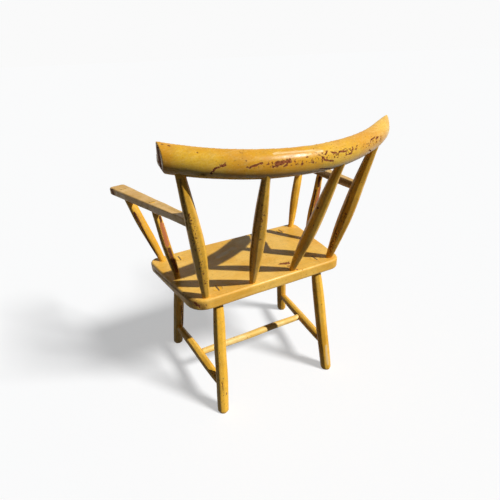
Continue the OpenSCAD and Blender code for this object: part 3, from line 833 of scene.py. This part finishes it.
class Paint(Shader):
    """Layers of old ochre oil paint over a red-brown primer. A layer's places come from the noises
    and from how near each corner point is to the marks of a kind. Its numbers say where such a
    field starts to show and where it shows in full, and then up to what share."""

    def __init__(self, owner):
        super().__init__(owner)
        self.grain = self.attribute("grain", "Vector")
        self.marks = {kind: self.attribute(kind) for kind in MARKS}
        self.patches = self.noise(self.grain, "patches")
        self.blotches = self.noise(self.grain, "blotches")
        self.worn = self.noise(self.grain, "worn")
        along = self.stretched(self.grain, BRUSH_STRETCH)
        self.streaks = self.noise(along, "streaks")
        self.broad_streaks = self.noise(along, "broad_streaks")
        self.hairs = self.noise(along, "hairs")
        coarse = self.minus(self.noise(self.grain, "coarse"), 0.5)
        fine = self.minus(self.noise(self.grain, "fine"), 0.5)
        self.ragged = self.plus(self.times(coarse, 2.0), self.times(fine, 1.7))
        # Grime and painted shade: the marked places, with noise
        self.dirt = self.plus(self.marks["soil"], self.times(coarse, 0.8))

    def brushed(self, ochre, deep, dulling):
        """Ochre in patches, blotches and mottles, with streaks and hairs along the grain."""
        mottle = self.noise(self.grain, "mottle")
        colour = self.cover(ochre, deep, self.patches, 0.36, 0.66)
        colour = self.cover(colour, OCHRE_DULL, self.blotches, 0.42, 0.72, dulling)
        colour = self.cover(colour, PALE_PAINT, self.broad_streaks, 0.46, 0.70, 0.22)
        colour = self.cover(colour, OCHRE_DULL, self.streaks, 0.50, 0.72, 0.30)
        colour = self.cover(colour, GRIME, self.hairs, 0.56, 0.74, 0.34)
        colour = self.cover(colour, deep, mottle, 0.50, 0.66, 0.55)
        colour = self.cover(colour, PALE_PAINT, mottle, 0.46, 0.34, 0.30)
        # Painted light at the marked places
        return self.cover(colour, PAINTED_LIGHT_OCHRE, self.marks["fresh"], 0.0, 0.9, 0.85)

    def rubbed(self, colour):
        """Pale where an edge is rubbed and dark in the hollows."""
        point = self.add("ShaderNodeNewGeometry").outputs["Pointiness"]
        rub = self.times(self.between(point, 0.515, 0.58), self.between(self.worn, 0.42, 0.62))
        colour = self.mix(self.times(rub, 0.45), colour, PALE_PAINT)
        return self.cover(colour, GRIME, point, 0.485, 0.44, 0.7)

    def soiled(self, colour):
        """Brown at the marked places, with grit. The marks are partly grime and partly painted
        shade.
        """
        colour = self.cover(colour, SOILED_AND_SHADED_PAINT, self.dirt, 0.25, 1.0, 0.85)
        grit = self.plus(self.noise(self.grain, "grit"), self.times(self.marks["soil"], 0.12))
        return self.cover(colour, GRIME, grit, 0.71, 0.74, 0.8)

    def scuffed_and_highlit(self, colour):
        """Pale in streaks at the pale places: rubbed paint, and a painted highlight along the crest
        rail's top.
        """
        pale = self.marks["pale"]
        scuff_and_highlight = self.plus(pale, self.times(self.minus(self.streaks, 0.5), 2.0))
        share = self.times(self.between(scuff_and_highlight, 0.30, 1.0, 0.0, 0.60), self.between(pale, 0.02, 0.2))
        return self.mix(share, colour, RUBBED_PAINT_AND_HIGHLIGHT)

    def chipped(self, colour, sparse):
        """Primer where the paint is gone: specks, flecks, loose flakes and the marked chips.
        sparse is how rare the loose flakes are. Also gives the share of what is gone."""
        chip, fleck = self.marks["chip"], self.marks["fleck"]
        rare = self.between(self.noise(self.grain, "rare"), 0.54, 0.60)
        specks = self.times(self.between(self.noise(self.grain, "specks"), 0.73, 0.75), rare)
        flecks = self.plus(self.noise(self.grain, "flecks"), self.times(fleck, 0.13))
        flecks = self.times(self.between(flecks, 0.66, 0.675), self.between(fleck, 0.1, 0.3))
        loose = self.times(self.noise(self.grain, "loose"), self.between(self.worn, 0.40, 0.68))
        loose = self.between(loose, sparse, sparse + 0.02)
        field = self.plus(self.times(chip, 1.35), self.ragged)
        at_chip = self.between(chip, 0.10, 0.25)
        gone = self.times(self.between(field, 0.66, 0.74), at_chip)
        for other in (specks, flecks, loose):
            gone = self.larger(gone, other)
        halo = self.times(self.between(field, 0.50, 0.66), at_chip)
        colour = self.mix(self.times(halo, 0.30), colour, PALE_PAINT)
        primer = self.cover(PRIMER, PRIMER_DEEP, self.noise(self.grain, "primer"), 0.42, 0.62)
        return self.mix(gone, colour, primer), gone

    def bared(self, kind, start, full):
        """Share of what is bare at the marked places of a kind, with ragged edges. At the dark
        marks it is partly painted shade.
        """
        near = self.marks[kind]
        field = self.plus(near, self.times(self.ragged, 0.35))
        return self.times(self.between(field, start, full), self.between(near, 0.02, 0.12))

    def cracks(self, rings):
        """Share of the cracks round tenons that show in a top. rings are their middles and
        radii, as x, y and radius."""
        place = self.add("ShaderNodeTexCoord").outputs["Object"]
        x, y, _ = self.add("ShaderNodeSeparateXYZ", {0: place}).outputs
        crack = 0.0
        for middle_x, middle_y, radius in rings:
            dx, dy = self.minus(x, middle_x), self.minus(y, middle_y)
            away = self.maths("SQRT", self.plus(self.times(dx, dx), self.times(dy, dy)))
            off = self.maths("ABSOLUTE", self.minus(away, radius))
            crack = self.larger(crack, self.between(off, CRACK_EDGE, CRACK_CORE))
        return crack

    def height(self, gone):
        """How high the surface lies: streaks, lumps and hairs, and lower where paint is gone."""
        height = self.plus(self.times(self.streaks, 0.22), self.times(self.broad_streaks, 0.5))
        height = self.plus(height, self.times(self.noise(self.grain, "lumps"), 0.35))
        height = self.plus(height, self.times(self.hairs, 0.12))
        return self.minus(height, self.times(gone, 0.9))

    def roughness(self, gloss, gone):
        """How rough the paint is: gloss where it is glossiest, and dry where it is gone."""
        wet = self.times(self.patches, self.blotches)
        rough = self.between(wet, 0.15, 0.35, gloss, gloss + 0.16)
        dry = self.larger(gone, self.between(self.dirt, 0.3, 1.0, 0.0, 0.9))
        return self.larger(rough, self.times(dry, 0.92))


def painted(name, ochre, deep, dulling=0.35, gloss=0.36, sparse=0.66, specular=0.20, rings=()):
    """Old ochre paint, brushed along the wood, rubbed, grimed and chipped. Some of its marks are
    painted shade and painted light.
    """
    paint = Paint(bpy.data.materials.new(name))
    colour = paint.brushed(ochre, deep, dulling)
    colour = paint.scuffed_and_highlit(paint.soiled(paint.rubbed(colour)))
    colour, flaked = paint.chipped(colour, sparse)
    bare, dark = paint.bared("bare", 0.44, 0.50), paint.bared("dark", 0.42, 0.52)
    bare_wood = paint.cover(BARE_WOOD, BARE_WOOD_DEEP, paint.streaks, 0.35, 0.62)
    # The dark colour is partly dark wood and partly painted shade
    dark_wood_and_shade = paint.cover(DARK_WOOD_AND_SHADE, DARK_WOOD_AND_SHADE_PALE, paint.streaks, 0.40, 0.60)
    colour = paint.mix(dark, paint.mix(bare, colour, bare_wood), dark_wood_and_shade)
    gone = paint.larger(flaked, paint.larger(bare, dark))
    height = paint.height(gone)
    if rings:
        crack = paint.cracks(rings)
        opened = paint.between(paint.noise(paint.grain, "opened"), 0.47, 0.56)
        colour = paint.mix(paint.times(crack, 0.25), colour, OCHRE_DEEP)
        colour = paint.mix(paint.times(crack, opened), colour, CRACK)
        height = paint.minus(height, paint.times(crack, 0.8))
    return paint.surface(colour, paint.roughness(gloss, gone), height, PAINT_RELIEF, specular)


def wedge_material():
    """A wedge end seen through old paint, dark where it has opened."""
    s = Shader(bpy.data.materials.new("WedgeWood"))
    place = s.add("ShaderNodeTexCoord").outputs["Object"]
    lines = s.noise(s.stretched(place, WEDGE_STRETCH), "wedge_lines")
    cover = s.noise(place, "cover")
    colour = s.cover(WEDGE_WOOD, WEDGE_WOOD_DEEP, lines, 0.38, 0.64)
    colour = s.cover(colour, OCHRE_DEEP, cover, 0.66, 0.74)
    return s.surface(colour, s.between(cover, 0.4, 0.6, 0.75, 0.5), lines, WEDGE_RELIEF)


def leg_ring(stick):
    """Where a leg's tenon shows in the top of the seat: its middle and its radius."""
    at = stick.at_height(seat_top)
    middle = stick.point(at)
    return middle[0], middle[1], stick.radius(at - TENON_BELOW)


# Marks


def pixel_ray(pixel):
    """Direction in which the photograph's pixel lies, from the camera."""
    aside, down = ((p - PICTURE_PIXELS / 2) / FOCAL_PIXELS for p in pixel)
    return (CAMERA_LOOK + CAMERA_RIGHT * aside - CAMERA_UP * down).normalized()


def mark_piece(piece):
    """Writes how near each corner point is to the piece's marks of each kind: 1 at a mark's middle
    line and 0.5 at its edge. A mark stays on the side of the piece that it is seen on."""
    co, tri = arrays(piece.data)
    normal = corner_normals(piece.data)
    tree = BVHTree.FromPolygons([Vector(p) for p in co], tri.tolist())
    for kind, places in MARKS.items():
        near = np.zeros(len(co))
        for start, end, half in places.get(piece.name, []):
            hits = [tree.ray_cast(CAMERA_PLACE, pixel_ray(p)) for p in (start, end)]
            if any(hit[0] is None for hit in hits):
                print("mark misses", piece.name, start, end)
                continue
            a, b = (np.array(hit[0]) for hit in hits)
            run = b - a
            share = np.clip(((co - a) @ run) / max(run @ run, 1e-12), 0, 1)
            away = np.linalg.norm(co - a - share[:, None] * run, axis=1)
            turn = normal @ np.array((hits[0][1] + hits[1][1]).normalized())
            same_side = np.clip((turn - TURNED_AWAY) / (TURNED_TOWARD - TURNED_AWAY), 0, 1)
            near = np.maximum(near, np.clip(1 - away / (2 * half * MM), 0, 1) * same_side)
        store(piece.data, kind, near)


# Floor, backdrop, light and camera


def floor_material():
    """A pale floor that the camera sees as bright as the backdrop and that keeps the shadow."""
    s = Shader(bpy.data.materials.new("PaleFloor"))
    seen = s.seen_by_camera()
    lit = s.add("ShaderNodeBsdfDiffuse", {"Color": s.mix(seen, FLOOR_BOUNCE, FLOOR_SEEN)})
    strength = s.times(seen, FLOOR_GLOW)
    glow = s.add("ShaderNodeEmission", {"Color": WHITE, "Strength": strength})
    return s.output(s.add("ShaderNodeAddShader", {0: lit.outputs[0], 1: glow.outputs[0]}))


def pale_floor():
    """The floor, wide enough for its edge to lie out of sight."""
    build = bmesh.new()
    bmesh.ops.create_grid(build, x_segments=4, y_segments=4, size=FLOOR_SIZE)
    obj = new_object("Floor", mesh_from(build, "Floor"))
    obj.data.materials.append(floor_material())
    return obj


def studio_world():
    """A faint sky that the camera sees as a pale backdrop."""
    s = Shader(bpy.data.worlds.new("Studio"))
    seen = s.seen_by_camera()
    level = s.between(seen, 0.0, 1.0, SKY_LEVEL, BACKDROP_LEVEL)
    inputs = {"Color": s.mix(seen, SKY_COLOUR, WHITE), "Strength": level}
    return s.output(s.add("ShaderNodeBackground", inputs), "World")


def key_light(name, angle, lit):
    """A sun of the key's strength and direction that lights only the given objects."""
    sun = bpy.data.lights.new(name, "SUN")
    sun.energy = KEY_STRENGTH
    sun.angle = angle
    lamp = new_object(name, sun)
    lamp.rotation_mode = "QUATERNION"
    lamp.rotation_quaternion = KEY_FROM.to_track_quat("Z", "Y")
    receivers = bpy.data.collections.new(name + "Receivers")
    for obj in lit:
        receivers.objects.link(obj)
    lamp.light_linking.receiver_collection = receivers


def photograph_camera():
    """The camera that took the photograph."""
    camera = bpy.data.cameras.new("Camera")
    camera.sensor_width = SENSOR_WIDTH
    camera.lens = FOCAL_PIXELS * SENSOR_WIDTH / PICTURE_PIXELS
    obj = new_object("Camera", camera)
    turn = Matrix((CAMERA_RIGHT, CAMERA_UP, -CAMERA_LOOK)).transposed()
    obj.matrix_world = Matrix.Translation(CAMERA_PLACE) @ turn.to_4x4()
    return obj


# The nodes by kind, and the measured sticks

back_nodes = [n for n in nodes if n.startswith(("outer_", "inner_"))]
arm_post_nodes = [n for n in nodes if n.startswith(("arm_post_front", "arm_post_middle"))]
leg_nodes = [n for n in nodes if n.startswith(("leg_back", "leg_front"))]
stretcher_nodes = ["stretcher_left", "stretcher_right", "stretcher_cross"]
sticks = {n: Stick(n) for n in back_nodes + arm_post_nodes + leg_nodes + stretcher_nodes}
seat_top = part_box("seat")[1].z

# Paints

stick_paint = painted("PaintedSticks", OCHRE, OCHRE_DEEP)
seat_paint = painted(
    "PaintedSeat", SEAT_OCHRE, SEAT_OCHRE_DEEP, dulling=0.25, sparse=0.80, specular=0.30,
    rings=[leg_ring(sticks[n]) for n in leg_nodes],
)
crest_paint = painted("PaintedCrest", CREST_OCHRE, CREST_OCHRE_DEEP, gloss=0.20, sparse=0.70)
cross_paint = painted("PaintedCross", CROSS_OCHRE, CROSS_OCHRE_DEEP, dulling=0.25)
arm_paint = painted(
    "PaintedArms", ARM_OCHRE, ARM_OCHRE_DEEP, dulling=0.45, gloss=0.42, specular=0.30
)
wedge_wood = wedge_material()

# Planks: the seat, the crest rail and the arms

in_seat = back_nodes + arm_post_nodes + leg_nodes
plank_piece(
    "ChairBottom", "seat", seat_paint, in_seat, (1, 0, 0), SEAT_VOXEL, SEAT_WAVES
)
plank_piece(
    "CrestRail", "crest_rail", crest_paint, back_nodes, (1, 0, 0), PLANK_VOXEL,
    CREST_WAVES,
)
arm_tops = {}
for side in ("left", "right"):
    node = "arm_" + side
    arm_tops[side] = arm_top(node)
    posts = ["arm_post_front_" + side, "arm_post_middle_" + side]
    front, middle = (sticks[n].point(sticks[n].high) for n in posts)
    plank_piece(
        piece_name(node), node, arm_paint, posts, middle - front, PLANK_VOXEL,
        ARM_WAVES, met="outer_post_" + side,
    )

# Sticks: the legs, the stretchers, the back's posts and spindles, and the arm posts

floor_cut = (Vector((0, 0, 0)), Vector((0, 0, -1)))
seat_cut = (Vector((0, 0, seat_top + PROUD)), Vector((0, 0, 1)))
leg_shaving = Shaving(facing=-0.35, depth=0.010, fades=(9 * MM, 30 * MM))
for i, node in enumerate(leg_nodes):
    stick_piece(
        node, stick_paint, leg_shaving, LEG_SEED + i, low=FOOT_EXCESS, high=LEG_EXCESS,
        cuts=[floor_cut, seat_cut],
    )
for i, node in enumerate(stretcher_nodes):
    paint = cross_paint if node == "stretcher_cross" else stick_paint
    stick_piece(node, paint, Shaving(), STRETCHER_SEED + i)
for i, node in enumerate(back_nodes):
    shaving = Shaving(
        flats=7, facing=FACING[node], depth=0.014, wander=0.9 * MM,
        bow=tuple(CAMERA_RIGHT * BOW.get(node, 0.0)),
    )
    stick_piece(node, stick_paint, shaving, BACK_SEED + i)
for i, node in enumerate(arm_post_nodes):
    place, up = arm_tops[node.split("_")[-1]]
    stick_piece(
        node, stick_paint, Shaving(depth=0.014), ARM_POST_SEED + i, high=ARM_POST_EXCESS,
        cuts=[(Vector(place + up * PROUD), Vector(up))],
    )

# Wedges, marks and the stage

wedge_piece("leg_wedges", wedge_wood, [((0, 0, seat_top), (0, 0, 1))])
wedge_piece("arm_post_wedges", wedge_wood, arm_tops.values())

for piece in pieces:
    mark_piece(piece)

floor = pale_floor()
scene = bpy.context.scene
scene.world = studio_world()
key_light("Key", KEY_ANGLE, pieces)
key_light("FloorKey", FLOOR_KEY_ANGLE, [floor])
bpy.context.scene.camera = photograph_camera()
scene.view_settings.view_transform = "Standard"
